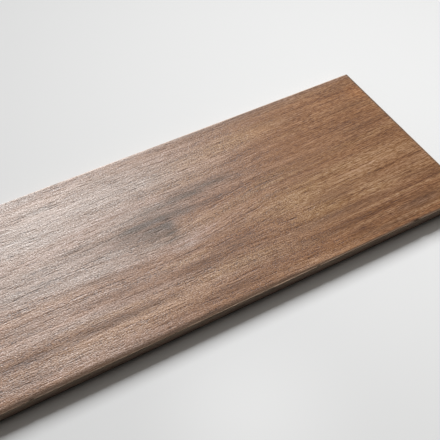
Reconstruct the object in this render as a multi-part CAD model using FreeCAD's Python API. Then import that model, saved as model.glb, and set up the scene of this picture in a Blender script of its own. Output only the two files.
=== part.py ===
import FreeCAD, Part
import math
import os

# Wood-look porcelain plank tile: one body, pressed from powder, printed, glazed and fired.
# Frame in millimetres: the origin is the centre of the underside, +X runs along the length,
# +Y across the width, and +Z up out of the printed face. The back's ribs stand on Z = 0.

# Driving dimensions of the body
LENGTH = 1200.0
WIDTH = 200.0
THICKNESS = 10.0
CORNER_RADIUS = 1.0

# The cushion: an arc tangent to the top face that lets all four edges fall away,
# and the small round where it turns into the side wall
CUSHION_DROP = 0.6
CUSHION_RADIUS = 12.0
ARRIS_RADIUS = 0.4

# The bevel round the underside that keeps the lower edge from chipping
FOOT_BEVEL = 0.8

# The keyed back: shallow drafted pockets that leave a grid of ribs inside a plain border
POCKET_DEPTH = 0.7
POCKET_PITCH = 30.0
RIB_WIDTH = 4.0
BACK_BORDER = 12.0
POCKET_DRAFT_DEGREES = 45.0


def edge_profile(span):
    """Face of the tile's section in the XZ plane, span wide and centred on X = 0."""
    half = span / 2
    cushion_width = math.sqrt(2 * CUSHION_RADIUS * CUSHION_DROP - CUSHION_DROP ** 2)
    cushion_centre = FreeCAD.Vector(half - cushion_width, 0, THICKNESS - CUSHION_RADIUS)

    # The arris round lies inside the cushion arc and touches it and the side wall.
    inner_reach = CUSHION_RADIUS - ARRIS_RADIUS
    arris_run = cushion_width - ARRIS_RADIUS
    arris_rise = math.sqrt(inner_reach ** 2 - arris_run ** 2)
    arris_centre = cushion_centre + FreeCAD.Vector(arris_run, 0, arris_rise)
    arris_angle = math.atan2(arris_rise, arris_run)

    def on_arc(centre, radius, angle):
        return centre + FreeCAD.Vector(radius * math.cos(angle), 0, radius * math.sin(angle))

    top_angle = math.pi / 2
    cushion_top = on_arc(cushion_centre, CUSHION_RADIUS, top_angle)
    cushion_middle = on_arc(cushion_centre, CUSHION_RADIUS, (top_angle + arris_angle) / 2)
    cushion_end = on_arc(cushion_centre, CUSHION_RADIUS, arris_angle)
    arris_middle = on_arc(arris_centre, ARRIS_RADIUS, arris_angle / 2)
    wall_top = on_arc(arris_centre, ARRIS_RADIUS, 0)
    wall_foot = FreeCAD.Vector(half, 0, FOOT_BEVEL)
    sole_end = FreeCAD.Vector(half - FOOT_BEVEL, 0, 0)

    def mirrored(point):
        return FreeCAD.Vector(-point.x, point.y, point.z)

    half_edges = [
        Part.Arc(cushion_top, cushion_middle, cushion_end).toShape(),
        Part.Arc(cushion_end, arris_middle, wall_top).toShape(),
        Part.makeLine(wall_top, wall_foot),
        Part.makeLine(wall_foot, sole_end),
    ]
    other_half = [edge.mirror(FreeCAD.Vector(), FreeCAD.Vector(1, 0, 0)) for edge in half_edges]
    top = Part.makeLine(mirrored(cushion_top), cushion_top)
    sole = Part.makeLine(mirrored(sole_end), sole_end)
    loop = Part.__sortEdges__(half_edges + other_half + [top, sole])
    return Part.Face(Part.Wire(loop))


def extruded_section(span, run):
    """The section of the given span, extruded over run and centred along Y."""
    section = edge_profile(span)
    section.translate(FreeCAD.Vector(0, -run / 2, 0))
    return section.extrude(FreeCAD.Vector(0, run, 0))


def plan_prism():
    """Upright prism of the tile's outline in plan, with its four corners rounded."""
    block = Part.makeBox(LENGTH, WIDTH, THICKNESS, FreeCAD.Vector(-LENGTH / 2, -WIDTH / 2, 0))
    uprights = [
        edge for edge in block.Edges
        if abs(edge.Vertexes[0].Z - edge.Vertexes[1].Z) > THICKNESS / 2
    ]
    return block.makeFillet(CORNER_RADIUS, uprights)


def pressed_body():
    """The tile with its cushioned edges, mitred at the corners where the two sections cross."""
    along = extruded_section(LENGTH, WIDTH)
    across = extruded_section(WIDTH, LENGTH)
    across.rotate(FreeCAD.Vector(), FreeCAD.Vector(0, 0, 1), 90)
    return along.common(across).common(plan_prism())


def rectangle(length, width, height):
    """Closed rectangle centred on the Z axis at the given height."""
    x = length / 2
    y = width / 2
    corners = [(-x, -y), (x, -y), (x, y), (-x, y), (-x, -y)]
    return Part.makePolygon([FreeCAD.Vector(px, py, height) for px, py in corners])


def pocket():
    """One drafted pocket of the back, centred on the Z axis with its mouth at Z = 0."""
    mouth = POCKET_PITCH - RIB_WIDTH
    floor = mouth - 2 * POCKET_DEPTH * math.tan(math.radians(POCKET_DRAFT_DEGREES))
    rings = [rectangle(mouth, mouth, 0), rectangle(floor, floor, POCKET_DEPTH)]
    return Part.makeLoft(rings, True, True)


def pocket_centres(span):
    """Places of the pockets along one side: as many as fit inside the border, centred."""
    count = int((span - 2 * BACK_BORDER + RIB_WIDTH) / POCKET_PITCH)
    return [(index - (count - 1) / 2) * POCKET_PITCH for index in range(count)]


def back_pockets():
    """All the pockets of the back, in rows and columns."""
    pattern = pocket()
    copies = []
    for x in pocket_centres(LENGTH):
        for y in pocket_centres(WIDTH):
            copies.append(pattern.translated(FreeCAD.Vector(x, y, 0)))
    return Part.makeCompound(copies)


plank_tile = pressed_body().cut(back_pockets()).Solids[0]

os.makedirs("parts", exist_ok=True)
plank_tile.exportStep("parts/plank_tile.step")
print("plank_tile", plank_tile.BoundBox, "volume mm3", round(plank_tile.Volume), "valid", plank_tile.isValid())
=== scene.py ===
import math
from collections import namedtuple

import bpy
import numpy as np
from bpy.props import FloatProperty, FloatVectorProperty, IntProperty, PointerProperty
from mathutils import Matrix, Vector


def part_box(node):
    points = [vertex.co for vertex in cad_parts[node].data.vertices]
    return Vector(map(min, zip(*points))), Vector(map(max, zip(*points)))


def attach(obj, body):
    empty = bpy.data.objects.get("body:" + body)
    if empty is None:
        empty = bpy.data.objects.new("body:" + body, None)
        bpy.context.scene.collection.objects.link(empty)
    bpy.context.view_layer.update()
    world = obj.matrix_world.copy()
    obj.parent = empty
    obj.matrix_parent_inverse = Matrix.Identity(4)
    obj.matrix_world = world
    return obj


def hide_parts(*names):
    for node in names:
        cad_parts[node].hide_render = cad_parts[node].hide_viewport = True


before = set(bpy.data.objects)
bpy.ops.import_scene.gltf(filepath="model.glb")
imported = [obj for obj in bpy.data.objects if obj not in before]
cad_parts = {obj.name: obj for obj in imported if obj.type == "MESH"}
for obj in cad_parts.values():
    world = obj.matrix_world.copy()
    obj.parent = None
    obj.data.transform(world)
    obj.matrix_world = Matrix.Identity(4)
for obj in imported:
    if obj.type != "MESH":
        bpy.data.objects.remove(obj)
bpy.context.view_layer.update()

bl_info = {
    "name": "Wood-look porcelain plank tile",
    "version": (1, 0, 0),
    "blender": (4, 5, 0),
    "location": "3D View > Sidebar > Plank Tile",
    "description": "Builds a printed and embossed porcelain plank with its studio stage",
    "category": "Object",
}

MM = 0.001
PLANK_LOW, PLANK_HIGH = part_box("plank_tile")
PLANK_SIZE = [high - low for low, high in zip(PLANK_LOW, PLANK_HIGH)]

# The print's figure, in millimetres along and across the plank from its centre.
# A swirl is a place where the grain bulges round a knot or the heart of an arch, or lifts to one
# side. It reaches further one way than the other, and its core is where lines spread apart.
Swirl = namedtuple("Swirl", "along across reach_left reach_right bulge lift core spread")
SWIRLS = (
    Swirl(330, 2, 60, 50, 9, 0, 16, 34),
    Swirl(455, -38, 52, 420, 13, 0, 26, 46),
    Swirl(640, 12, 90, 90, 0, 10, 20, 42),
    Swirl(60, 45, 160, 120, 9, 0, 20, 45),
    Swirl(-140, -30, 60, 50, 8, 0, 15, 36),
    Swirl(-330, -45, 260, 120, 12, 0, 24, 45),
    Swirl(-420, 38, 70, 60, 9, 0, 16, 38),
)

# A stain is a soft streak of one tone that follows the grain.
Stain = namedtuple("Stain", "along across half_length half_width strength")

# The smoky knot, its tails and the grey streaks round it
SMOKE_STAINS = (
    Stain(316, 14, 30, 6, 0.95),
    Stain(322, 3, 22, 8, 0.75),
    Stain(337, -3, 8, 8, 1.0),
    Stain(336, 14, 10, 5, 1.0),
    Stain(352, 14, 18, 4, 0.8),
    Stain(300, 5, 20, 4, 0.5),
    Stain(272, 13, 26, 5, 0.4),
    Stain(255, 17, 14, 2.5, 0.6),
    Stain(215, 12, 50, 6, 0.2),
    Stain(190, 20, 10, 3, 0.35),
    Stain(386, 13, 18, 4, 0.1),
    Stain(368, 28, 18, 4, 0.8),
    Stain(338, 26, 32, 4, 0.6),
    Stain(392, 32, 22, 5, 0.6),
    Stain(310, 36, 18, 4, 0.3),
    Stain(372, 35, 22, 4, 0.55),
    Stain(310, 84, 26, 4, 0.3),
    Stain(205, 60, 16, 6, 0.2),
    Stain(190, -44, 20, 3.5, 0.3),
    Stain(205, -12, 28, 4, 0.25),
    Stain(258, -23, 34, 4, 0.3),
    Stain(180, -38, 28, 4, 0.3),
    Stain(195, -67, 40, 4, 0.2),
    Stain(245, -67, 36, 3, 0.4),
    Stain(552, -84, 26, 5, 0.22),
    Stain(226, 91, 22, 5, 0.28),
    Stain(232, 84, 16, 3, 0.12),
    Stain(505, -92, 40, 4, 0.15),
)

# Dark reddish streaks
RUST_STAINS = (
    Stain(342, -49, 28, 6, 1.0),
    Stain(384, 13, 34, 5, 0.9),
    Stain(491, -84, 14, 4, 0.9),
    Stain(478, -4, 20, 3, 0.3),
    Stain(575, -54, 18, 4, 0.6),
    Stain(540, -71, 34, 4, 0.5),
    Stain(278, -52, 24, 3, 0.6),
    Stain(178, -84, 20, 4, 0.5),
    Stain(400, -80, 34, 5, 0.4),
    Stain(310, -44, 18, 3.5, 0.5),
    Stain(300, -28, 24, 3.5, 0.4),
    Stain(392, -28, 14, 4, 0.5),
    Stain(560, 35, 30, 4, 0.4),
    Stain(495, -38, 24, 3, 0.5),
    Stain(545, -37, 24, 3, 0.5),
    Stain(512, 68, 18, 4, 0.25),
    Stain(340, -33, 20, 2.2, 0.6),
    Stain(380, -43, 26, 6, 1.0),
    Stain(262, 94, 40, 4, 0.42),
    Stain(368, -28, 14, 4, 0.5),
    Stain(268, -43, 36, 3.5, 0.75),
    Stain(245, -66, 44, 4, 1.0),
    Stain(180, -66, 34, 5, 0.9),
    Stain(285, -67, 26, 2.5, 0.7),
    Stain(358, -85, 38, 6, 0.85),
    Stain(445, 93, 90, 4, 0.7),
    Stain(490, -60, 70, 4, 0.8),
    Stain(592, -60, 14, 5, 0.9),
    Stain(505, -74, 80, 4.5, 0.8),
    Stain(560, -79, 28, 7, 0.9),
    Stain(520, -84, 40, 4, 0.5),
    Stain(552, -86, 22, 4, 0.8),
    Stain(525, -92, 30, 4, 0.35),
    Stain(400, -56, 34, 2, 0.45),
    Stain(572, 26, 34, 6, 0.6),
    Stain(574, -36, 24, 4, 0.5),
    Stain(576, 57, 20, 6, 0.35),
    Stain(580, 87, 30, 5, 0.3),
    Stain(590, -30, 20, 9, 0.15),
    Stain(580, 3, 24, 5, 0.4),
    Stain(318, -90, 44, 5, 0.35),
    Stain(408, -92, 16, 4, 0.4),
    Stain(540, 44, 24, 4, 0.3),
    Stain(560, -40, 24, 5, 0.6),
    Stain(378, 28, 16, 3, 0.3),
)

# Bleached washes and streaks, and a painted highlight along the far cushion
TAUPE_STAINS = (
    # These two rows are a painted highlight along the far cushion, pale and grey like its sheen
    Stain(240, 99, 120, 5, 0.5),
    Stain(430, 99, 180, 3.4, 0.6),
    Stain(300, 62, 90, 30, 0.75),
    Stain(338, 60, 50, 12, 0.8),
    Stain(225, 55, 80, 36, 0.75),
    Stain(240, 75, 26, 5, 0.95),
    Stain(310, 28, 80, 12, 0.55),
    Stain(210, 2, 80, 20, 0.7),
    Stain(262, -13, 70, 8, 0.7),
    Stain(218, -4, 30, 5, 0.95),
    Stain(193, -5, 24, 5, 1.0),
    Stain(280, -4, 24, 4, 0.9),
    Stain(340, 20, 40, 3, 0.55),
    Stain(318, -13, 24, 5, 0.75),
    Stain(235, -36, 90, 12, 0.2),
    Stain(225, -53, 80, 5, 0.5),
    Stain(190, -84, 70, 9, 0.4),
    Stain(250, -93, 46, 6, 0.35),
    Stain(343, -18, 26, 6, 0.45),
    Stain(342, -25, 16, 4, 0.5),
    Stain(370, -68, 60, 7, 0.15),
)

# Pale tan streaks and the fine bright lines of the arch
TAN_STAINS = (
    Stain(510, -93, 50, 4, 0.15),
    Stain(496, 52, 18, 4, 0.35),
    Stain(450, 68, 40, 8, 0.8),
    Stain(440, -12, 22, 5, 0.5),
    Stain(505, -12, 50, 5, 0.8),
    Stain(472, -48, 30, 7, 1.0),
    Stain(530, -49, 20, 5, 0.8),
    Stain(338, -40, 26, 3, 0.6),
    Stain(250, -78, 70, 6, 0.3),
    Stain(250, -60, 50, 3, 0.4),
    Stain(374, -64, 44, 6, 0.8),
    Stain(390, -4, 50, 5, 0.4),
    Stain(458, -24, 42, 8, 1.0),
    Stain(520, -12, 60, 6, 0.65),
    Stain(510, -29, 60, 6, 0.6),
    Stain(565, -19, 50, 7, 0.5),
    Stain(535, -45, 70, 4, 0.7),
    Stain(474, -48, 24, 7, 1.0),
    Stain(446, 70, 42, 9, 1.0),
    Stain(405, 66, 44, 8, 0.5),
    Stain(540, 60, 26, 5, 0.25),
    Stain(450, 10, 22, 4, 0.4),
    Stain(560, 12, 50, 5, 0.45),
    Stain(424, -93, 24, 4, 0.25),
    Stain(462, -95, 30, 3, 0.2),
    Stain(390, -72, 60, 2.5, 0.4),
    Stain(500, -51, 70, 1.4, 0.7),
    Stain(535, -66, 80, 1.4, 0.6),
    Stain(505, -79, 26, 1.4, 0.7),
    Stain(560, -90, 40, 1.6, 0.5),
    Stain(440, 3, 50, 3, 0.6),
    Stain(595, 51, 10, 4, 0.4),
    Stain(374, 44, 26, 4, 0.5),
    Stain(468, 77, 24, 4, 0.5),
)

# Amber patches
AMBER_STAINS = (
    Stain(471, 69, 18, 8, 0.25),
    Stain(520, 66, 110, 32, 0.13),
    Stain(592, 70, 11, 15, 0.5),
    Stain(384, -40, 24, 6, 0.4),
    Stain(582, 28, 14, 6, 0.3),
    Stain(398, 11, 28, 5, 0.4),
    Stain(374, 28, 18, 4, 0.3),
    Stain(560, -38, 20, 4, 0.25),
    Stain(474, 45, 20, 4, 0.15),
)

# The smoky knots of the other half
FAR_KNOT_STAINS = (
    Stain(-141, -30, 20, 11, 0.9),
    Stain(-128, -20, 46, 5, 0.6),
    Stain(-421, 38, 24, 12, 1.0),
    Stain(-440, 30, 60, 5, 0.7),
)
PLACED_STAINS = (
    ("smoke", SMOKE_STAINS),
    ("rust", RUST_STAINS),
    ("taupe", TAUPE_STAINS),
    ("tan", TAN_STAINS),
    ("amber", AMBER_STAINS),
    ("smoke", FAR_KNOT_STAINS),
)
TONES = ("smoke", "rust", "taupe", "amber", "tan")
STAIN_FADE = 0.8

# Dark streaks lean towards the near edge: the slope of each tone, and the reach in half widths.
LEAN_SLOPES = dict(rust=0.023, smoke=0.012)
LEAN_REACH = 3

# Streaks scattered over the rest of the plank, in every tone but smoke: their number, and between which
# places, sizes and strengths they are drawn
SCATTERED_STAINS = 46
SCATTER_ALONG = (-600, 130)
SCATTER_ACROSS = (-95, 95)
SCATTER_HALF_LENGTH = (30, 90)
SCATTER_HALF_WIDTH = (3, 9)
SCATTER_STRENGTH = (0.35, 0.8)

# Nicks broken out of the arris, in millimetres: place along the near edge and size.
Nick = namedtuple("Nick", "along half_length reach depth")
NICKS = (
    Nick(536, 3.2, 1.5, 1.1),
    Nick(172, 2.4, 0.9, 0.5),
    Nick(431, 1.8, 0.7, 0.4),
    Nick(-95, 2.6, 1.0, 0.6),
    Nick(-388, 2.0, 0.8, 0.5),
)

# Layers of the print: noise drawn out to a length along the grain and a width across it, in
# millimetres, with a shift that sets each apart from the others. The finest three lie straight.
Layer = namedtuple("Layer", "length width shift")
LAYERS = dict(
    broad=Layer(260, 20, 3.1),
    band=Layer(130, 9, 7.7),
    line=Layer(75, 3.8, 4.5),
    thread=Layer(17, 2.0, 1.9),
    dash=Layer(19, 1.5, 2.6),
    strand=Layer(100, 0.7, 6.2),
    pale_drift=Layer(250, 8, 11.4),
    dark_drift=Layer(180, 11, 13.9),
)
STRAIGHT_LAYERS = dict(
    fibre=Layer(5, 1.15, 5.3),
    fleck=Layer(1.4, 0.8, 8.1),
    hair=Layer(4, 0.7, 9.4),
)

# Layers of the bare walls and of the back, in the same way
WALL_LAYERS = dict(
    drag=Layer(24, 1.6, 2.2),
    grit=Layer(0.9, 0.8, 6.6),
)
BACK_LAYERS = dict(
    mottle=Layer(60, 40, 4.4),
    dust=Layer(5, 4, 8.8),
    grit=Layer(0.9, 0.9, 1.1),
)

# The relief's noise, in millimetres along and across the grain, on a lattice that repeats
LATTICE = 512
SWELL_SEED, FIBRE_SEED, STRAND_SEED, PORE_SEED, DRIFT_SEED, SCATTER_SEED = range(11, 17)
RIPPLE_SEED, RIDGE_SEED = range(17, 19)
Relief = namedtuple("Relief", "length width seed")
RELIEF = dict(
    swell=Relief(150, 21, SWELL_SEED),
    ridge=Relief(120, 9, RIDGE_SEED),
    ripple=Relief(70, 3.8, RIPPLE_SEED),
    fibre=Relief(62, 2.7, FIBRE_SEED),
    strand=Relief(26, 1.9, STRAND_SEED),
    pore=Relief(15, 1.8, PORE_SEED),
)

# The right end, where the relief and the print grow calmer: from and to which place along the plank, in
# millimetres, and by what share
RELIEF_CALM_RANGE = (400, 520)
RELIEF_CALM = 0.6
PRINT_CALM_RANGE = (420, 530)
PRINT_CALM = 0.8

# Brightness of the print's fibres: how far each layer swings up and down, and what each mark adds
SHADE_SWINGS = dict(band=0.15, line=0.08, thread=0.13, fibre=0.22)
STRAND_SWING = 0.33
FLECK_SWING = 0.52
PALE_VEIN = 0.12
DARK_VEIN = -0.17
PORE_INK = -0.26
LEAST_SHADE = 0.1

# How much faster green and blue darken than red in a dark fibre: in brown print, and where bleached
GREEN_POWERS = (1.45, 1.2)
BLUE_POWERS = (2.4, 1.4)
FULLY_BLEACHED = 0.8

# The satin glaze: its refraction, its roughness, and what dulls it
GLAZE_IOR = 1.54
GLAZE_ROUGHNESS = (0.38, 0.48)
FLECK_DULLING = 0.07
PORE_DULLING = 0.06
INK_AND_RIM_DULLING = dict(matt=0.16, rim=0.40)

# Fine relief of each finish: strength, and depth in millimetres
Bump = namedtuple("Bump", "strength depth")
PRINT_BUMP = Bump(0.7, 0.17)
WALL_BUMP = Bump(0.5, 0.10)
BACK_BUMP = Bump(0.6, 0.15)

# The edge: grid lines over the cushion, in millimetres from the rim, and how many turn over the arris;
# the far cushion's share of the near one's width; the rows of the walls as shares of their height; and
# the angle from which an edge is sharp
CUSHION_LINES = (0.9, 1.5, 2.2, 3.1, 4.3, 5.8)
ARRIS_LINES = 5
FAR_CUSHION_SHARE = 0.65
WALL_SHARES = (0.0, 0.055, 0.12, 1.0)
SHARP_ANGLE = math.radians(50)

# The stage: the floor's half size, what the key lights, how the floor's painted light dims with distance
# from the middle of each painted pool, where the world brightens towards the back, and the camera's frame
FLOOR_HALF = 30.0
KEY_TARGET = Vector((0.35, 0.0, 0.0))
Pool = namedtuple("Pool", "start end least")
WIDE_POOL = Pool(0.011, 0.969, 0.0)
SMALL_POOL = Pool(0.0, 0.101, 0.39)
WORLD_RISE = (-0.10, 0.26)
SENSOR_WIDTH = 36.0
CLIP_START = 0.01


class PlankShape(bpy.types.PropertyGroup):
    """Sizes of the pressed body and of its embossed face."""

    length: FloatProperty(
        name="Length", description="Size along the grain", default=PLANK_SIZE[0], unit="LENGTH")
    width: FloatProperty(
        name="Width", description="Size across the grain", default=PLANK_SIZE[1], unit="LENGTH")
    thickness: FloatProperty(
        name="Thickness", description="Height of the printed face",
        default=PLANK_SIZE[2], unit="LENGTH")
    corner_radius: FloatProperty(
        name="Corner radius", description="Round of the four plan corners",
        default=1.0 * MM, unit="LENGTH")
    cushion_drop: FloatProperty(
        name="Cushion drop", description="How far the face falls at its edges",
        default=0.55 * MM, unit="LENGTH")
    far_drop: FloatProperty(
        name="Far drop", description="How far the face falls at its far edge",
        default=0.30 * MM, unit="LENGTH")
    cushion_slim: FloatProperty(
        name="Slim cushion", description="Width of the fall at the right end",
        default=2.4 * MM, unit="LENGTH")
    cushion_broad: FloatProperty(
        name="Broad cushion", description="Width of the fall further left",
        default=6.2 * MM, unit="LENGTH")
    arris_radius: FloatProperty(
        name="Arris radius", description="Round where the fall meets the wall",
        default=0.35 * MM, unit="LENGTH")
    foot_bevel: FloatProperty(
        name="Foot bevel", description="Bevel round the underside", default=0.8 * MM, unit="LENGTH")
    pocket_depth: FloatProperty(
        name="Pocket depth", description="Depth of the back's pockets", default=0.7 * MM, unit="LENGTH")
    pocket_pitch: FloatProperty(
        name="Pocket pitch", description="Spacing of the back's pockets",
        default=30.0 * MM, unit="LENGTH")
    rib_width: FloatProperty(
        name="Rib width", description="Width of the ribs between pockets",
        default=4.0 * MM, unit="LENGTH")
    back_border: FloatProperty(
        name="Back border", description="Least plain border of the back",
        default=12.0 * MM, unit="LENGTH")
    groove_depth: FloatProperty(
        name="Groove depth", description="Depth of the long brushed grooves",
        default=0.05 * MM, unit="LENGTH")
    pore_depth: FloatProperty(
        name="Pore depth", description="Depth of the short pores", default=0.06 * MM, unit="LENGTH")
    swell_depth: FloatProperty(
        name="Swell depth", description="Depth of the broad scraped hollows",
        default=0.05 * MM, unit="LENGTH")
    ripple_depth: FloatProperty(
        name="Ripple depth", description="Depth of the ripples along the grain",
        default=0.08 * MM, unit="LENGTH")
    ridge_depth: FloatProperty(
        name="Ridge depth", description="Depth between the broad ridges",
        default=0.20 * MM, unit="LENGTH")
    columns: IntProperty(
        name="Columns", description="Mesh cells along the face", default=278)
    rows: IntProperty(
        name="Rows", description="Mesh cells across the face", default=236)


class PlankPrint(bpy.types.PropertyGroup):
    """Colours of the print, the body and the back, with painted shade on the rim and the foot and a
    painted highlight on the arris.
    """

    heart_brown: FloatVectorProperty(
        name="Heart brown", description="Main tone of the print", subtype="COLOR",
        default=(0.240, 0.100, 0.0312))
    late_brown: FloatVectorProperty(
        name="Late brown", description="Dark streaks", subtype="COLOR", default=(0.150, 0.060, 0.012))
    tan: FloatVectorProperty(
        name="Tan", description="Light streaks", subtype="COLOR", default=(0.345, 0.187, 0.080))
    taupe: FloatVectorProperty(
        name="Taupe", description="Bleached grey streaks", subtype="COLOR",
        default=(0.300, 0.224, 0.185))
    smoke: FloatVectorProperty(
        name="Smoke", description="Grey of the knots", subtype="COLOR", default=(0.100, 0.060, 0.036))
    rust: FloatVectorProperty(
        name="Rust", description="Dark reddish streaks", subtype="COLOR", default=(0.130, 0.045, 0.009))
    amber: FloatVectorProperty(
        name="Amber", description="Orange patches", subtype="COLOR", default=(0.370, 0.145, 0.038))
    # Rim brown is partly painted shade: it darkens the cushion that falls away from the key
    rim_brown_and_shade: FloatVectorProperty(
        name="Rim brown", description="Dark greyed print over the cushioned edge", subtype="COLOR",
        default=(0.055, 0.026, 0.010))
    # Engobe is partly painted highlight: the bright line on the arris is painted pale as well as worn
    engobe_and_highlight: FloatVectorProperty(
        name="Engobe", description="Pale layer bared along the arris", subtype="COLOR",
        default=(0.680, 0.500, 0.360))
    body_brown: FloatVectorProperty(
        name="Body brown", description="Fired body on the walls", subtype="COLOR",
        default=(0.275, 0.195, 0.142))
    body_dark: FloatVectorProperty(
        name="Body dark", description="Darker drag lines of the walls", subtype="COLOR",
        default=(0.180, 0.130, 0.096))
    # Painted shade: the lower wall is darkened in place of the contact shadow at the floor
    foot_shade: FloatVectorProperty(
        name="Foot dark", description="Soot-dark lower wall", subtype="COLOR",
        default=(0.100, 0.080, 0.064))
    release_powder: FloatVectorProperty(
        name="Release powder", description="Pale kiln powder on the back", subtype="COLOR",
        default=(0.480, 0.440, 0.395))


class PlankStage(bpy.types.PropertyGroup):
    """Floor, light and camera."""

    # The floor's colour holds painted light: bright in the painted pools, dimmer away from them
    floor_bright: FloatVectorProperty(
        name="Floor bright", description="Floor where the light pools", subtype="COLOR",
        default=(0.861, 0.875, 0.887))
    floor_dim: FloatVectorProperty(
        name="Floor dim", description="Floor away from the pool", subtype="COLOR",
        default=(0.512, 0.520, 0.527))
    pool: FloatVectorProperty(
        name="Pool", description="Middle of the bright floor", subtype="TRANSLATION",
        default=(0.661, -0.024, 0.0))
    near_pool: FloatVectorProperty(
        name="Near pool", description="Middle of the small bright patch in front", subtype="TRANSLATION",
        default=(0.316, -0.186, 0.0))
    key_power: FloatProperty(
        name="Key power", description="Soft lamp behind the plank", default=1640.0, unit="POWER")
    key_elevation: FloatProperty(
        name="Key elevation", description="Height angle of the key",
        default=math.radians(29.5), subtype="ANGLE")
    key_bearing: FloatProperty(
        name="Key bearing", description="Turn of the key from straight behind, to the right",
        default=math.radians(3.0), subtype="ANGLE")
    key_distance: FloatProperty(
        name="Key distance", description="Distance of the key", default=10.0, unit="LENGTH")
    key_size: FloatProperty(
        name="Key size", description="Side of the key's face", default=3.4, unit="LENGTH")
    key_tint: FloatVectorProperty(
        name="Key tint", description="Colour of the key", subtype="COLOR", default=(0.995, 1.0, 1.0))
    light_behind: FloatVectorProperty(
        name="Light behind", description="Studio light from behind and overhead", subtype="COLOR",
        default=(0.430, 0.395, 0.360))
    light_front: FloatVectorProperty(
        name="Light in front", description="Studio light from the dim front", subtype="COLOR",
        default=(0.033, 0.030, 0.027))
    camera_place: FloatVectorProperty(
        name="Camera", description="Place of the camera", subtype="TRANSLATION",
        default=(0.1658, -0.4035, 0.5362))
    camera_yaw: FloatProperty(
        name="Camera yaw", description="Turn from +Y to the right",
        default=math.radians(28.98), subtype="ANGLE")
    camera_pitch: FloatProperty(
        name="Camera pitch", description="Tilt below level",
        default=math.radians(49.75), subtype="ANGLE")
    camera_lens: FloatProperty(
        name="Camera lens", description="Focal length in millimetres on a 36 mm frame", default=62.74)


# Numbers shared by the relief and the print

def smooth_step(low, high, value):
    """0 below low, 1 above high and an S-shaped rise between them."""
    t = np.clip((value - low) / (high - low), 0.0, 1.0)
    return t * t * (3.0 - 2.0 * t)


def lattice_noise(along, across, seed):
    """Smooth noise from 0 to 1 at the given lattice places, the same on each run."""
    table = np.random.default_rng(seed).random((LATTICE, LATTICE))
    column = np.floor(along).astype(int)
    row = np.floor(across).astype(int)
    s = smooth_step(0.0, 1.0, along - column)
    t = smooth_step(0.0, 1.0, across - row)
    left, right = column % LATTICE, (column + 1) % LATTICE
    below, above = row % LATTICE, (row + 1) % LATTICE
    lower = table[left, below] * (1 - s) + table[right, below] * s
    upper = table[left, above] * (1 - s) + table[right, above] * s
    return lower * (1 - t) + upper * t


def grain_across(x, y):
    """The grain line on which each point lies: y, bent round the swirls and drifting gently."""
    drift_length, drift_width, drift_swing = 170, 60, 3.0
    across = y / MM
    along = x / MM
    drift = lattice_noise(along / drift_length, across / drift_width, DRIFT_SEED)
    bent = across + drift_swing * (drift - 0.5)
    for swirl in SWIRLS:
        run = along - swirl.along
        reach = np.where(run < 0, swirl.reach_left, swirl.reach_right)
        rise = across - swirl.across
        envelope = np.exp(-(run / reach) ** 2 - (rise / swirl.spread) ** 2)
        bent = bent - envelope * (swirl.lift + swirl.bulge * np.tanh(rise / swirl.core))
    return bent * MM


def scattered_stains():
    """Tones and streaks for the rest of the plank, in the sizes of the placed ones."""
    draw = np.random.default_rng(SCATTER_SEED)
    stains = []
    for _ in range(SCATTERED_STAINS):
        tone = TONES[draw.integers(1, len(TONES))]
        stain = Stain(
            along=draw.uniform(*SCATTER_ALONG),
            across=draw.uniform(*SCATTER_ACROSS),
            half_length=draw.uniform(*SCATTER_HALF_LENGTH),
            half_width=draw.uniform(*SCATTER_HALF_WIDTH),
            strength=draw.uniform(*SCATTER_STRENGTH))
        stains.append((tone, stain))
    return stains


def all_stains():
    """Each placed and each scattered stain, with its tone."""
    placed = [(tone, stain) for tone, stains in PLACED_STAINS for stain in stains]
    return placed + scattered_stains()


def stain_reach(stain, x, across):
    """How far each point lies from a stain's middle, along and across the grain, in its half sizes."""
    line = grain_across(np.array([stain.along * MM]), np.array([stain.across * MM]))
    run = (x / MM - stain.along) / stain.half_length
    rise = (across - line) / MM / stain.half_width
    return run, rise


def stain_masks(x, across):
    """How much of each tone lies at each point of the grain, one array for each tone."""
    masks = {tone: np.zeros_like(x) for tone in TONES}
    for tone, stain in all_stains():
        run, rise = stain_reach(stain, x, across)
        soft = stain.strength * np.exp(-STAIN_FADE * (run ** 2 + rise ** 2))
        masks[tone] = np.maximum(masks[tone], soft)
    return masks


def matt_ink(x, masks):
    """Where the ink lies so thick that it dulls the glaze: the smoke, and the rust of the left part."""
    matt_to, glossy_from = 360 * MM, 500 * MM
    rust_share = 0.75
    leftward = 1 - smooth_step(matt_to, glossy_from, x)
    return np.maximum(masks["smoke"], rust_share * leftward * masks["rust"])


def streak_lean(x, across):
    """Height of the dark streaks, which are pressed to lean towards the near edge."""
    height = np.zeros_like(x)
    for tone, stain in all_stains():
        if tone in LEAN_SLOPES:
            run, rise = stain_reach(stain, x, across)
            lean = LEAN_SLOPES[tone] * stain.strength * stain.half_width * MM
            height += lean * np.tanh(rise) * np.exp(-STAIN_FADE * run ** 2 - (rise / LEAN_REACH) ** 2)
    return height


def emboss(shape, x, across):
    """Depth of the whole relief below the face, and where its grooves and pores lie."""
    fibre_share, strand_share = 0.62, 0.38
    groove_from, groove_full = 0.66, 0.94
    pore_from, pore_full = 0.72, 0.95
    along = x / MM
    line = across / MM
    noise = {}
    for name, part in RELIEF.items():
        noise[name] = lattice_noise(along / part.length, line / part.width, part.seed)
    brushed = fibre_share * noise["fibre"] + strand_share * noise["strand"]
    grooves = smooth_step(groove_from, groove_full, brushed)
    pores = smooth_step(pore_from, pore_full, noise["pore"])
    calm = 1 - RELIEF_CALM * smooth_step(*RELIEF_CALM_RANGE, along)
    depth = shape.swell_depth * noise["swell"] + calm * (
        shape.ridge_depth * noise["ridge"] + shape.ripple_depth * noise["ripple"]
        + shape.groove_depth * grooves + shape.pore_depth * pores)
    depth = np.clip(depth - streak_lean(x, across), 0.0, None)
    return depth, calm * np.maximum(grooves, pores)


# The mesh of the tile

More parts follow.
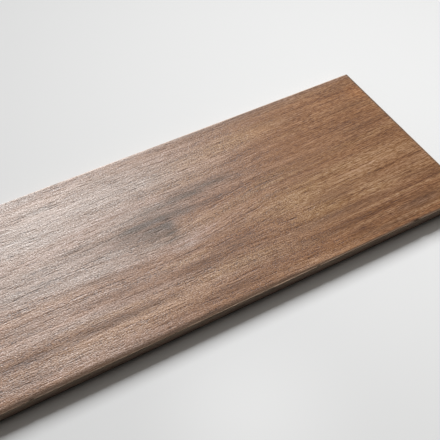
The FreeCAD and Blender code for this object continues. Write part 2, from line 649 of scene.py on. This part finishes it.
def spaced(span, cells, shape, extra=()):
    """Grid lines over span: close together on the arris and cushion, even between them."""
    turns = np.linspace(0.0, math.pi / 2, ARRIS_LINES)
    arris = shape.arris_radius * (1 - np.cos(turns))
    cushion = np.array(CUSHION_LINES) * MM
    rim = np.concatenate([arris, cushion])
    middle = np.linspace(-span / 2 + rim[-1], span / 2 - rim[-1], cells + 1)[1:-1]
    lines = np.concatenate([-span / 2 + rim, middle, span / 2 - rim, np.asarray(extra, float)])
    return np.unique(np.round(lines, 7))


def face_columns(shape):
    """Grid lines along the plank, with closer ones at the nicks and a little past them."""
    margin, count = 1.3, 9
    closer = np.linspace(-margin, margin, count)
    finer = []
    for nick in NICKS:
        finer.extend((nick.along + closer * nick.half_length) * MM)
    return spaced(shape.length, shape.columns, shape, finer)


def cushion_width(shape, x):
    """Width of the edge's fall, slim at the right end and broad further left."""
    slim_from, broad_to = 470 * MM, 370 * MM
    wander_length = 90 * MM
    broad = 1 - smooth_step(broad_to, slim_from, x)
    wander = 0.8 + 0.2 * smooth_step(0.0, 1.0, lattice_noise(x / wander_length, x * 0, DRIFT_SEED))
    return shape.cushion_slim + (shape.cushion_broad - shape.cushion_slim) * broad * wander


def edge_fall(shape, inset, width, drop):
    """How far the face has fallen at a distance from its edge: the cushion and the arris round."""
    cushion = drop * np.clip(1 - inset / width, 0, 1) ** 2
    into_arris = np.clip(shape.arris_radius - inset, 0, None)
    arris = shape.arris_radius - np.sqrt(shape.arris_radius ** 2 - into_arris ** 2)
    return cushion + arris


def nick_depth(x, y, near_edge):
    """Extra depth of the nicks broken out of the near arris, with steep sides and a gritty floor."""
    grit_length, grit_width, steepness = 1.1, 0.6, 0.7
    depth = np.zeros_like(x)
    for nick in NICKS:
        run = (x / MM - nick.along) / nick.half_length
        rise = (y - near_edge) / MM / nick.reach
        ragged = 0.8 + 0.4 * lattice_noise(x / MM / grit_length, y / MM / grit_width, PORE_SEED)
        hollow = np.clip(1 - run ** 2 - rise ** 2, 0, 1) ** steepness
        depth = np.maximum(depth, nick.depth * MM * ragged * hollow)
    return depth


def rounded_corners(shape, x, y):
    """Moves the points of each plan corner from a square onto its quarter round."""
    core_x = np.clip(x, -shape.length / 2 + shape.corner_radius, shape.length / 2 - shape.corner_radius)
    core_y = np.clip(y, -shape.width / 2 + shape.corner_radius, shape.width / 2 - shape.corner_radius)
    out_x, out_y = x - core_x, y - core_y
    square = np.maximum(np.abs(out_x), np.abs(out_y))
    round_ = np.hypot(out_x, out_y)
    pull = np.where(round_ > 0, square / np.maximum(round_, 1e-12), 1.0)
    return core_x + out_x * pull, core_y + out_y * pull


class MeshParts:
    """Collects vertices, faces, face materials and bake-map corners for one mesh."""

    def __init__(self):
        self.points = []
        self.count = 0
        self.faces = []
        self.slots = []
        self.corners = []

    def add_points(self, points):
        """Adds vertices and returns their numbers."""
        first = self.count
        self.points.append(np.asarray(points, float).reshape(-1, 3))
        self.count += len(self.points[-1])
        return np.arange(first, self.count)

    def add_faces(self, faces, places, slot):
        """Adds faces of one material, with the bake-map place of each corner."""
        faces = np.asarray(faces)
        self.faces.extend(faces.tolist())
        self.slots.extend([slot] * len(faces))
        self.corners.append(np.asarray(places, float).reshape(-1, 2))


def grid_faces(index, u, v, flip=False):
    """Quads over a grid of vertex numbers, with their places in the bake map."""
    around = [(0, 0), (1, 0), (1, 1), (0, 1)]
    if flip:
        around = around[::-1]
    columns, rows = index.shape
    faces, places = [], []
    for i, j in around:
        faces.append(index[i:columns - 1 + i, j:rows - 1 + j].ravel())
        places.append(np.stack([u[i:columns - 1 + i, j:rows - 1 + j].ravel(),
                                v[i:columns - 1 + i, j:rows - 1 + j].ravel()], -1))
    return np.stack(faces, -1), np.stack(places, 1)


def zip_faces(outer, inner, outer_at, inner_at, places):
    """Triangles between two rows of vertices that run the same way at their own spacing."""
    faces = []
    i = j = 0
    while i < len(outer) - 1 or j < len(inner) - 1:
        step_outer = j == len(inner) - 1 or (i < len(outer) - 1 and outer_at[i + 1] <= inner_at[j + 1])
        if step_outer:
            faces.append((outer[i], inner[j], outer[i + 1]))
            i += 1
        else:
            faces.append((outer[i], inner[j], inner[j + 1]))
            j += 1
    return faces, [places[number] for face in faces for number in face]


# The bake map's bands, as shares of its height: the face, the back and three strips of wall
FACE_BAND = (0.335, 0.995)
BACK_BAND = (0.125, 0.320)
FRONT_BAND = (0.085, 0.115)
REAR_BAND = (0.045, 0.075)
ENDS_BAND = (0.005, 0.035)
MAP_SIDES = (0.004, 0.996)
RIGHT_END_SIDES = (0.004, 0.49)
LEFT_END_SIDES = (0.51, 0.996)
WALL_MAP_SHARE = 0.9
PRINT_SLOT, WALL_SLOT, BACK_SLOT = range(3)


def within(band, share):
    """Place in the bake map at a share of the way through a band."""
    return band[0] + (band[1] - band[0]) * share


def running_share(lines, height):
    """Share of the way along a section at each grid line, measured over its fall."""
    steps = np.hypot(np.diff(lines), np.diff(height))
    run = np.concatenate([[0.0], np.cumsum(steps)])
    return run / run[-1]


def face_grid(shape, parts):
    """The cushioned, embossed and nicked face. Returns its vertices, its grain and the print's guides."""
    smooth_to, embossed_from = 0.6 * MM, 3.2 * MM
    bare_depth = 0.3 * MM
    columns = face_columns(shape)
    rows = spaced(shape.width, shape.rows, shape)
    x, y = np.meshgrid(columns, rows, indexing="ij")
    inset_x = shape.length / 2 - np.abs(x)
    inset_y = shape.width / 2 - np.abs(y)
    width = cushion_width(shape, x) * np.where(y < 0, 1.0, FAR_CUSHION_SHARE)
    side_drop = np.where(y < 0, shape.cushion_drop, shape.far_drop)
    fall = np.maximum(edge_fall(shape, inset_x, shape.cushion_slim, shape.cushion_drop),
                      edge_fall(shape, inset_y, width, side_drop))
    inset = np.minimum(inset_x, inset_y)
    across = grain_across(x, y)
    depth, furrow = emboss(shape, x, across)
    calm = smooth_step(smooth_to, embossed_from, inset)
    nicks = nick_depth(x, y, -shape.width / 2)
    z = shape.thickness - fall - depth * calm - nicks
    plan_x, plan_y = rounded_corners(shape, x, y)
    index = parts.add_points(np.stack([plan_x, plan_y, z], -1)).reshape(x.shape)

    nominal = (shape.cushion_slim, shape.cushion_drop)
    u = running_share(columns, edge_fall(shape, shape.length / 2 - np.abs(columns), *nominal))
    v = running_share(rows, edge_fall(shape, shape.width / 2 - np.abs(rows), *nominal))
    u, v = np.meshgrid(within(MAP_SIDES, u), within(FACE_BAND, v), indexing="ij")
    parts.add_faces(*grid_faces(index, u, v), PRINT_SLOT)

    masks = stain_masks(x, across)
    guides = dict(
        furrow=furrow * calm,
        wear_and_highlight=arris_wear_and_highlight(x, y, inset),
        rim=rim_print_and_shade(shape, x, y, inset_x, inset_y, width),
        nicked=np.clip(nicks / bare_depth, 0, 1),
        **masks,
        matt=matt_ink(x, masks))
    return index, across, guides


def arris_wear_and_highlight(x, y, inset):
    """Share of the pale layer bared in a thin, patchy line on the arris, which widens to the right:
    partly wear, partly painted highlight.
    """
    narrow_to, wide_from = 180 * MM, 400 * MM
    weak_to, strong_from = 380 * MM, 470 * MM
    patch_length = 17 * MM
    # On the far edge the pale line is a painted highlight of the cushion's sheen
    far_share = 0.6
    drift = smooth_step(narrow_to, wide_from, x)
    middle = (0.10 + 0.35 * drift) * MM
    half_width = (0.45 + 0.20 * drift) * MM
    line = 1 - smooth_step(0.0, 1.0, np.abs(inset - middle) / half_width)
    patchy = 0.75 + 0.25 * lattice_noise(x / patch_length, x * 0, PORE_SEED)
    rightward = 0.85 + 0.15 * smooth_step(weak_to, strong_from, x)
    return line * patchy * rightward * np.where(y < 0, 1.0, far_share)


def rim_print_and_shade(shape, x, y, inset_x, inset_y, width):
    """Dark print and painted shade over the near edge and the ends, where the cushion falls away from the
    key, and a faint line beside the far cushion.
    """
    far_ink, far_blur = 0.08, 0.25
    none_to, full_from = 220 * MM, 340 * MM
    # Painted shade: the near cushion and the end cushions are darkened in colour, on top of the shade
    # from their tilt
    near = 1 - smooth_step(0.25, 1.1, inset_y / width)
    ends = 1 - smooth_step(0.35, 1.15, inset_x / shape.cushion_slim)
    far_line = np.exp(-((inset_y / width - 1.0) / far_blur) ** 2)
    far_line = far_ink * smooth_step(none_to, full_from, x) * far_line
    return np.maximum(np.where(y < 0, near, far_line), ends)


def ring_sides(index):
    """The four sides of a grid's edge, each from corner to corner, anticlockwise from above."""
    return [index[:, 0], index[-1, :], index[::-1, -1], index[0, ::-1]]


def inset_ring(shape, points, inset):
    """Points of the plan outline moved inwards by inset, with rounder or tighter corners to suit."""
    limit = np.array([shape.length / 2 - shape.corner_radius, shape.width / 2 - shape.corner_radius])
    core = np.clip(points[:, :2], -limit, limit)
    return core + (points[:, :2] - core) * (1 - inset / shape.corner_radius)


def walls(shape, parts, index):
    """The four side walls and the bevel under them. Returns the lowest ring's sides."""
    points = np.concatenate(parts.points)
    shares = np.array(WALL_SHARES)
    bands = [FRONT_BAND, ENDS_BAND, REAR_BAND, ENDS_BAND]
    spans = [MAP_SIDES, RIGHT_END_SIDES, MAP_SIDES, LEFT_END_SIDES]
    ring = np.concatenate([side[:-1] for side in ring_sides(index)])
    top = points[ring]
    levels = [ring]
    for share in shares[1:]:
        z = top[:, 2] + (shape.foot_bevel - top[:, 2]) * share
        levels.append(parts.add_points(np.column_stack([top[:, :2], z])))
    sole = inset_ring(shape, top, shape.foot_bevel)
    levels.append(parts.add_points(np.column_stack([sole, np.zeros(len(sole))])))
    levels = np.array(levels)

    start = 0
    lowest = []
    for side, band, span in zip(ring_sides(index), bands, spans):
        picked = (start + np.arange(len(side))) % len(ring)
        numbers = levels[:, picked]
        run = np.linspace(span[0], span[1], len(side))
        height = within(band, 1 - np.append(WALL_MAP_SHARE * shares, 1.0))
        u, v = np.meshgrid(run, height, indexing="xy")
        parts.add_faces(*grid_faces(numbers, u, v), WALL_SLOT)
        lowest.append(numbers[-1])
        start += len(side) - 1
    return lowest


def pocket_lines(span, shape):
    """Grid lines of the back's pockets along one side, and which of them lie on a pocket's floor."""
    count = int((span - 2 * shape.back_border + shape.rib_width) / shape.pocket_pitch)
    centres = (np.arange(count) - (count - 1) / 2) * shape.pocket_pitch
    mouth = (shape.pocket_pitch - shape.rib_width) / 2
    floor = mouth - shape.pocket_depth
    lines = (centres[:, None] + np.array([-mouth, -floor, floor, mouth])).ravel()
    return lines, np.tile([False, True, True, False], count)


def back_grid(shape, parts, lowest):
    """The underside: a grid of drafted pockets inside a plain border."""
    columns, column_floor = pocket_lines(shape.length, shape)
    rows, row_floor = pocket_lines(shape.width, shape)
    x, y = np.meshgrid(columns, rows, indexing="ij")
    z = shape.pocket_depth * (column_floor[:, None] & row_floor[None, :])
    index = parts.add_points(np.stack([x, y, z], -1)).reshape(x.shape)

    points = np.concatenate(parts.points)
    u = within(MAP_SIDES, points[:, 0] / shape.length + 0.5)
    v = within(BACK_BAND, points[:, 1] / shape.width + 0.5)
    places = np.stack([u, v], -1)
    parts.add_faces(*grid_faces(index, u[index], v[index], flip=True), BACK_SLOT)
    ways = [(0, 1), (1, 1), (0, -1), (1, -1)]
    for outer, inner, (axis, way) in zip(lowest, ring_sides(index), ways):
        faces, corners = zip_faces(
            outer, inner, way * points[outer, axis], way * points[inner, axis], places)
        parts.add_faces(faces, corners, BACK_SLOT)


def store(mesh, name, kind, field, values):
    """Keeps one value for each vertex on the mesh, for the materials to read."""
    attribute = mesh.attributes.new(name, kind, "POINT")
    attribute.data.foreach_set(field, np.asarray(values, np.float32).ravel())


def plank_mesh(shape):
    """The whole tile as one closed mesh, with the print's guides kept at its vertices."""
    parts = MeshParts()
    index, across, guides = face_grid(shape, parts)
    lowest = walls(shape, parts, index)
    back_grid(shape, parts, lowest)
    points = np.concatenate(parts.points)

    mesh = bpy.data.meshes.new("printed_plank")
    mesh.from_pydata(points.tolist(), [], parts.faces)
    mesh.polygons.foreach_set("material_index", parts.slots)
    mesh.uv_layers.new(name="OFBake").data.foreach_set("uv", np.concatenate(parts.corners).ravel())
    mesh.polygons.foreach_set("use_smooth", np.ones(len(parts.faces), bool))
    mesh.set_sharp_from_angle(angle=SHARP_ANGLE)

    top = index.ravel()
    grain = points.copy()
    grain[top, 1] = across.ravel()
    grain[top, 2] = 0.0
    store(mesh, "grain", "FLOAT_VECTOR", "vector", grain)
    for name, guide in guides.items():
        values = np.zeros(len(points))
        values[top] = guide.ravel()
        store(mesh, name, "FLOAT", "value", values)
    return mesh


# Shader building blocks

def add_node(tree, kind, **settings):
    """Adds a node of the given kind with these settings."""
    node = tree.nodes.new(kind)
    for name, value in settings.items():
        setattr(node, name, value)
    return node


def feed(tree, socket, value):
    """Links a socket to another, or sets its own value."""
    if isinstance(value, bpy.types.NodeSocket):
        tree.links.new(value, socket)
    elif isinstance(value, (int, float)) or socket.type != "RGBA":
        socket.default_value = value
    else:
        socket.default_value = (*value, 1.0)


def maths(tree, operation, first, second=0.0, clamp=False):
    """Result of one sum of two values or sockets."""
    node = add_node(tree, "ShaderNodeMath", operation=operation, use_clamp=clamp)
    feed(tree, node.inputs[0], first)
    feed(tree, node.inputs[1], second)
    return node.outputs[0]


def ramp(tree, value, low, high, start=0.0, end=1.0):
    """Smooth rise from start to end while value goes from low to high."""
    node = add_node(tree, "ShaderNodeMapRange", interpolation_type="SMOOTHSTEP")
    for socket, number in zip(node.inputs, (value, low, high, start, end)):
        feed(tree, socket, number)
    return node.outputs[0]


def mixed(tree, share, first, second, kind="MIX"):
    """Colour between first and second, or first with second blended over it."""
    # Of the node's many sockets, these three are the ones for colours.
    first_socket, second_socket, result_socket = 6, 7, 2
    node = add_node(tree, "ShaderNodeMix", data_type="RGBA", blend_type=kind)
    feed(tree, node.inputs["Factor"], share)
    feed(tree, node.inputs[first_socket], first)
    feed(tree, node.inputs[second_socket], second)
    return node.outputs[result_socket]


def kept(tree, name, output="Fac"):
    """Value or vector kept on the mesh under this name."""
    return add_node(tree, "ShaderNodeAttribute", attribute_name=name).outputs[output]


def own_place(tree):
    """Place of a point in its own object."""
    return add_node(tree, "ShaderNodeTexCoord").outputs["Object"]


def parted(tree, vector):
    """The X, Y and Z of a vector."""
    node = add_node(tree, "ShaderNodeSeparateXYZ")
    feed(tree, node.inputs[0], vector)
    return node.outputs


def joined(tree, x, y, z=0.0):
    """The vector with this X, Y and Z."""
    node = add_node(tree, "ShaderNodeCombineXYZ")
    for socket, value in zip(node.inputs, (x, y, z)):
        feed(tree, socket, value)
    return node.outputs[0]


def bumped(tree, shader, height, bump):
    """Tilts the shader's normal over a fine relief."""
    node = add_node(tree, "ShaderNodeBump")
    feed(tree, node.inputs["Strength"], bump.strength)
    feed(tree, node.inputs["Distance"], bump.depth * MM)
    feed(tree, node.inputs["Height"], height)
    feed(tree, shader.inputs["Normal"], node.outputs[0])


def streaks_group():
    """Group: noise drawn out to a given length along the grain and a given width across it."""
    tree = bpy.data.node_groups.new("Drawn streaks", "ShaderNodeTree")
    tree.interface.new_socket("Grain", in_out="INPUT", socket_type="NodeSocketVector")
    for name, value in (("Length", 0.1), ("Width", 0.002), ("Shift", 0.0)):
        socket = tree.interface.new_socket(name, in_out="INPUT", socket_type="NodeSocketFloat")
        socket.default_value = value
    tree.interface.new_socket("Streaks", in_out="OUTPUT", socket_type="NodeSocketFloat")
    given = add_node(tree, "NodeGroupInput").outputs
    x, y, _ = parted(tree, given["Grain"])
    along = maths(tree, "DIVIDE", x, given["Length"])
    across = maths(tree, "DIVIDE", y, given["Width"])
    noise = add_node(tree, "ShaderNodeTexNoise", noise_dimensions="3D")
    feed(tree, noise.inputs["Vector"], joined(tree, along, across, given["Shift"]))
    feed(tree, noise.inputs["Scale"], 1.0)
    feed(tree, noise.inputs["Detail"], 1.0)
    feed(tree, noise.inputs["Roughness"], 0.55)
    lowest, highest = 0.28, 0.72
    spread = add_node(tree, "ShaderNodeMapRange")
    for socket, number in zip(spread.inputs, (noise.outputs[0], lowest, highest, 0.0, 1.0)):
        feed(tree, socket, number)
    out = add_node(tree, "NodeGroupOutput")
    feed(tree, out.inputs["Streaks"], spread.outputs[0])
    return tree


def streaks(tree, group, places, layer):
    """One layer of drawn-out streaks over the given places."""
    node = add_node(tree, "ShaderNodeGroup", node_tree=group)
    feed(tree, node.inputs["Grain"], places)
    feed(tree, node.inputs["Length"], layer.length * MM)
    feed(tree, node.inputs["Width"], layer.width * MM)
    feed(tree, node.inputs["Shift"], layer.shift)
    return node.outputs[0]


def drawn(tree, group, places, layers):
    """All of these layers over the given places, by name."""
    return {name: streaks(tree, group, places, layer) for name, layer in layers.items()}


def vein_lines(tree, drift, breaks, reach):
    """Long thin lines that wind along the middle level of a drawn-out noise, broken here and there."""
    away = maths(tree, "ABSOLUTE", maths(tree, "SUBTRACT", drift, 0.5))
    lines = ramp(tree, away, 0.01, reach, 1.0, 0.0)
    return maths(tree, "MULTIPLY", lines, ramp(tree, breaks, 0.2, 0.7, 0.3, 1.0))


def new_material(name):
    """A new material, its node tree and its shader."""
    material = bpy.data.materials.new(name)
    material.use_nodes = True
    tree = material.node_tree
    shader = next(node for node in tree.nodes if node.type == "BSDF_PRINCIPLED")
    return material, tree, shader


def figure_colour(tree, colours, layers):
    """The print's tones without its fibres: the brown ground, and the stains that follow the grain."""
    broad_share, band_share = 0.65, 0.35
    tone = maths(tree, "ADD", maths(tree, "MULTIPLY", layers["broad"], broad_share),
                 maths(tree, "MULTIPLY", layers["band"], band_share))
    colour = mixed(tree, ramp(tree, tone, 0.0, 0.5, 0.6, 1.0), colours.late_brown, colours.heart_brown)
    colour = mixed(tree, ramp(tree, tone, 0.5, 1.0, 0.0, 0.35), colour, colours.tan)
    soft = ramp(tree, layers["line"], 0.0, 1.0, 0.85, 1.15)
    frayed = ramp(tree, layers["line"], 0.0, 1.0, 0.6, 1.3)
    fringes = dict(taupe=soft, tan=soft, amber=soft, rust=frayed, smoke=frayed)
    for name, fringe in fringes.items():
        share = maths(tree, "MULTIPLY", kept(tree, name), fringe, clamp=True)
        colour = mixed(tree, share, colour, getattr(colours, name))
    return colour


def right_share(tree, plan):
    """0 over most of the plank and 1 at its right end, where the print is calmer."""
    start, end = PRINT_CALM_RANGE
    return ramp(tree, parted(tree, plan)[0], start * MM, end * MM)


def calmed(tree, rightward):
    """1 over most of the plank and little at its right end."""
    return maths(tree, "SUBTRACT", 1.0, maths(tree, "MULTIPLY", rightward, PRINT_CALM))


def fibre_shade(tree, rightward, layers, pores):
    """Brightness of the fibres about 1, from broad bands down to flecks, calmer at the right end."""
    shade = 0.0
    for name, swing in SHADE_SWINGS.items():
        shade = maths(tree, "ADD", shade, ramp(tree, layers[name], 0.0, 1.0, -swing, swing))
    shade = maths(tree, "ADD", maths(tree, "MULTIPLY", shade, calmed(tree, rightward)), 1.0)
    strands = ramp(tree, layers["strand"], 0.0, 1.0, -STRAND_SWING, STRAND_SWING)
    shade = maths(tree, "ADD", shade, maths(tree, "MULTIPLY", strands, rightward))
    pale = vein_lines(tree, layers["pale_drift"], layers["band"], reach=0.12)
    pale = maths(tree, "MULTIPLY", pale, maths(tree, "ADD", rightward, 1.0))
    dark = vein_lines(tree, layers["dark_drift"], layers["thread"], reach=0.08)
    marks = (
        (layers["fleck"], -FLECK_SWING, FLECK_SWING),
        (pale, 0.0, PALE_VEIN),
        (dark, 0.0, DARK_VEIN),
        (pores, 0.0, PORE_INK))
    for mark, low, high in marks:
        shade = maths(tree, "ADD", shade, ramp(tree, mark, 0.0, 1.0, low, high))
    shade = maths(tree, "MULTIPLY", shade, ramp(tree, kept(tree, "furrow"), 0.1, 1.0, 1.02, 0.9))
    return maths(tree, "MAXIMUM", shade, LEAST_SHADE)


def shaded(tree, colour, shade):
    """Colour darkened or lightened by the fibres: dark ones are redder, and less so where bleached."""
    bleached = kept(tree, "taupe")
    tint = add_node(tree, "ShaderNodeCombineColor")
    feed(tree, tint.inputs[0], shade)
    for socket, powers in zip(tint.inputs[1:], (GREEN_POWERS, BLUE_POWERS)):
        power = ramp(tree, bleached, 0.0, FULLY_BLEACHED, *powers)
        feed(tree, socket, maths(tree, "POWER", shade, power))
    return mixed(tree, 1.0, colour, tint.outputs[0], "MULTIPLY")


def glaze_roughness(tree, rightward, layers, pores):
    """Roughness of the satin glaze: duller on dark flecks, in pores, under thick ink and at the rim."""
    gloss = maths(tree, "ADD", layers["fibre"], layers["band"])
    rough = ramp(tree, gloss, 0.0, 2.0, *GLAZE_ROUGHNESS)
    leftward = maths(tree, "SUBTRACT", 1.0, rightward)
    dulled = ramp(tree, layers["fleck"], 0.0, 1.0, FLECK_DULLING, -FLECK_DULLING)
    rough = maths(tree, "ADD", rough, maths(tree, "MULTIPLY", dulled, leftward))
    rough = maths(tree, "ADD", rough, maths(tree, "MULTIPLY", pores, PORE_DULLING))
    for name, gain in INK_AND_RIM_DULLING.items():
        rough = maths(tree, "ADD", rough, maths(tree, "MULTIPLY", kept(tree, name), gain))
    return rough


def print_material(colours, group):
    """Satin glaze over the inkjet print of brushed, smoky brown timber."""
    material, tree, shader = new_material("Printed satin glaze")
    hair_low, hair_high = 0.24, 0.76
    pore_from, pore_full = 0.66, 0.95
    coarse_share = 0.5
    plan = own_place(tree)
    layers = drawn(tree, group, kept(tree, "grain", "Vector"), LAYERS)
    layers.update(drawn(tree, group, plan, STRAIGHT_LAYERS))
    rightward = right_share(tree, plan)
    hair = ramp(tree, layers["hair"], 0.0, 1.0, hair_low, hair_high)
    layers["fleck"] = mixed(tree, rightward, layers["fleck"], hair)
    dashes = ramp(tree, layers["dash"], pore_from, pore_full)
    pores = maths(tree, "MULTIPLY", dashes, calmed(tree, rightward))

    colour = figure_colour(tree, colours, layers)
    colour = shaded(tree, colour, fibre_shade(tree, rightward, layers, pores))
    # Dark print and painted shade over the near cushion and the ends
    frayed = ramp(tree, layers["line"], 0.1, 0.9, 0.8, 1.0)
    colour = mixed(tree, maths(tree, "MULTIPLY", kept(tree, "rim"), frayed), colour, colours.rim_brown_and_shade)
    # Pale wear and painted highlight along the arris
    colour = mixed(tree, kept(tree, "wear_and_highlight"), colour, colours.engobe_and_highlight)
    colour = mixed(tree, kept(tree, "nicked"), colour, colours.body_brown)
    feed(tree, shader.inputs["Base Color"], colour)
    feed(tree, shader.inputs["Roughness"], glaze_roughness(tree, rightward, layers, pores))
    feed(tree, shader.inputs["IOR"], GLAZE_IOR)

    relief = layers["fleck"]
    for name in ("fibre", "thread"):
        relief = maths(tree, "ADD", relief, maths(tree, "MULTIPLY", layers[name], coarse_share))
    bumped(tree, shader, maths(tree, "SUBTRACT", relief, pores), PRINT_BUMP)
    return material


def wall_material(colours, group):
    """The bare fired body on the side walls, with drag lines from the press, painted shade towards the
    foot, and the arris line's wear and painted highlight.
    """
    material, tree, shader = new_material("Pressed brown body")
    shaded_to, unshaded_from = 0.4 * MM, 2.2 * MM
    x, y, height = parted(tree, own_place(tree))
    layers = drawn(tree, group, joined(tree, maths(tree, "ADD", x, y), height), WALL_LAYERS)
    drag, grit = layers["drag"], layers["grit"]
    colour = mixed(tree, ramp(tree, drag, 0.2, 0.9), colours.body_brown, colours.body_dark)
    colour = mixed(tree, ramp(tree, grit, 0.55, 1.0, 0.0, 0.35), colour, colours.late_brown)
    # Painted shade: the wall darkens towards the floor, standing in for the contact shadow
    foot_shade_share = ramp(tree, height, shaded_to, unshaded_from, 1.0, 0.0)
    colour = mixed(tree, foot_shade_share, colour, colours.foot_shade)
    # Pale wear and painted highlight along the top of the wall
    colour = mixed(tree, kept(tree, "wear_and_highlight"), colour, colours.engobe_and_highlight)
    feed(tree, shader.inputs["Base Color"], colour)
    feed(tree, shader.inputs["Roughness"], ramp(tree, grit, 0.0, 1.0, 0.55, 0.75))
    bumped(tree, shader, maths(tree, "ADD", grit, drag), WALL_BUMP)
    return material


def back_material(colours, group):
    """The unglazed back, dusted with kiln powder on its ribs."""
    material, tree, shader = new_material("Powdered unglazed back")
    pocket_from = 0.6 * MM
    place = own_place(tree)
    _, _, height = parted(tree, place)
    layers = drawn(tree, group, place, BACK_LAYERS)
    mottle, dust, grit = layers["mottle"], layers["dust"], layers["grit"]
    colour = mixed(tree, ramp(tree, mottle, 0.2, 0.8), colours.body_brown, colours.body_dark)
    on_ribs = ramp(tree, height, 0.0, pocket_from, 1.0, 0.45)
    powder = maths(tree, "MULTIPLY", ramp(tree, dust, 0.25, 0.85, 0.15, 0.8), on_ribs)
    colour = mixed(tree, powder, colour, colours.release_powder)
    feed(tree, shader.inputs["Base Color"], colour)
    feed(tree, shader.inputs["Roughness"], ramp(tree, dust, 0.0, 1.0, 0.75, 0.95))
    bumped(tree, shader, maths(tree, "ADD", grit, dust), BACK_BUMP)
    return material


class PLANK_OT_tile(bpy.types.Operator):
    """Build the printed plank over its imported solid"""

    bl_idname = "plank.build_tile"
    bl_label = "Build Tile"

    def execute(self, context):
        shape = context.scene.plank_shape
        colours = context.scene.plank_print
        mesh = plank_mesh(shape)
        group = streaks_group()
        for material in (print_material, wall_material, back_material):
            mesh.materials.append(material(colours, group))
        tile = bpy.data.objects.new("printed_plank", mesh)
        context.scene.collection.objects.link(tile)
        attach(tile, "root")
        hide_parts("plank_tile")
        return {"FINISHED"}


def floor_material(stage):
    """Pale paper with pools of light painted into its colour, brightest at their middles."""
    material, tree, shader = new_material("Pale paper")
    place = own_place(tree)
    share = 1.0
    for middle, reach in ((stage.pool, WIDE_POOL), (stage.near_pool, SMALL_POOL)):
        away = add_node(tree, "ShaderNodeVectorMath", operation="DISTANCE")
        feed(tree, away.inputs[0], place)
        feed(tree, away.inputs[1], middle)
        dimmed = ramp(tree, away.outputs["Value"], reach.start, reach.end, reach.least)
        share = maths(tree, "MULTIPLY", share, dimmed)
    feed(tree, shader.inputs["Base Color"], mixed(tree, share, stage.floor_bright, stage.floor_dim))
    feed(tree, shader.inputs["Roughness"], 0.9)
    feed(tree, shader.inputs["Specular IOR Level"], 0.2)
    return material


def studio_world(stage):
    """Soft light that is bright behind and above the plank and dim in front of it."""
    world = bpy.data.worlds.new("Soft studio")
    world.use_nodes = True
    tree = world.node_tree
    background = next(node for node in tree.nodes if node.type == "BACKGROUND")
    _, backward, _ = parted(tree, add_node(tree, "ShaderNodeTexCoord").outputs["Generated"])
    behind = ramp(tree, backward, *WORLD_RISE)
    feed(tree, background.inputs["Color"], mixed(tree, behind, stage.light_front, stage.light_behind))
    feed(tree, background.inputs["Strength"], 1.0)
    return world


def floor_object(stage):
    """The wide paper floor that the plank lies on."""
    half = FLOOR_HALF
    corners = [(-half, -half, 0), (half, -half, 0), (half, half, 0), (-half, half, 0)]
    mesh = bpy.data.meshes.new("floor")
    mesh.from_pydata(corners, [], [(0, 1, 2, 3)])
    mesh.materials.append(floor_material(stage))
    return bpy.data.objects.new("floor", mesh)


def key_object(stage):
    """The big soft lamp behind the plank, turned towards its right half."""
    bearing, elevation = stage.key_bearing, stage.key_elevation
    toward = Vector((math.sin(bearing) * math.cos(elevation),
                     math.cos(bearing) * math.cos(elevation), math.sin(elevation)))
    place = KEY_TARGET + stage.key_distance * toward
    lamp = bpy.data.lights.new("key", "AREA")
    lamp.shape = "SQUARE"
    lamp.size = stage.key_size
    lamp.energy = stage.key_power
    lamp.color = stage.key_tint
    key = bpy.data.objects.new("key", lamp)
    key.location = place
    key.rotation_euler = (KEY_TARGET - place).to_track_quat("-Z", "Y").to_euler()
    return key


def camera_object(stage):
    """The camera, placed and turned as the photograph's."""
    lens = bpy.data.cameras.new("camera")
    lens.sensor_width = SENSOR_WIDTH
    lens.lens = stage.camera_lens
    lens.clip_start = CLIP_START
    camera = bpy.data.objects.new("camera", lens)
    camera.location = stage.camera_place
    camera.rotation_euler = (math.pi / 2 - stage.camera_pitch, 0.0, -stage.camera_yaw)
    return camera


class PLANK_OT_stage(bpy.types.Operator):
    """Set up the floor, the key lamp, the world and the camera"""

    bl_idname = "plank.build_stage"
    bl_label = "Build Stage"

    def execute(self, context):
        scene = context.scene
        stage = scene.plank_stage
        floor = floor_object(stage)
        camera = camera_object(stage)
        for item in (floor, key_object(stage), camera):
            scene.collection.objects.link(item)
        scene.world = studio_world(stage)
        scene.camera = camera
        scene.view_settings.view_transform = "Standard"
        return {"FINISHED"}


class PLANK_PT_sidebar(bpy.types.Panel):
    """Sidebar with the tile's sizes, colours and build steps"""

    bl_idname = "PLANK_PT_sidebar"
    bl_label = "Plank Tile"
    bl_space_type = "VIEW_3D"
    bl_region_type = "UI"
    bl_category = "Plank Tile"

    def draw(self, context):
        layout = self.layout
        for operator in (PLANK_OT_tile, PLANK_OT_stage):
            layout.operator(operator.bl_idname)
        for name, group in SETTINGS:
            box = layout.box()
            for field in group.__annotations__:
                box.prop(getattr(context.scene, name), field)


SETTINGS = (("plank_shape", PlankShape), ("plank_print", PlankPrint), ("plank_stage", PlankStage))
CLASSES = (PlankShape, PlankPrint, PlankStage, PLANK_OT_tile, PLANK_OT_stage, PLANK_PT_sidebar)


def register():
    """Adds the classes, and the settings to each scene."""
    for cls in CLASSES:
        bpy.utils.register_class(cls)
    for name, group in SETTINGS:
        setattr(bpy.types.Scene, name, PointerProperty(type=group))


def unregister():
    """Takes the settings and the classes out again."""
    for name, _ in SETTINGS:
        delattr(bpy.types.Scene, name)
    for cls in reversed(CLASSES):
        bpy.utils.unregister_class(cls)


def main():
    """Builds the plank and its stage."""
    register()
    bpy.ops.plank.build_tile()
    bpy.ops.plank.build_stage()


if __name__ == "__main__":
    main()
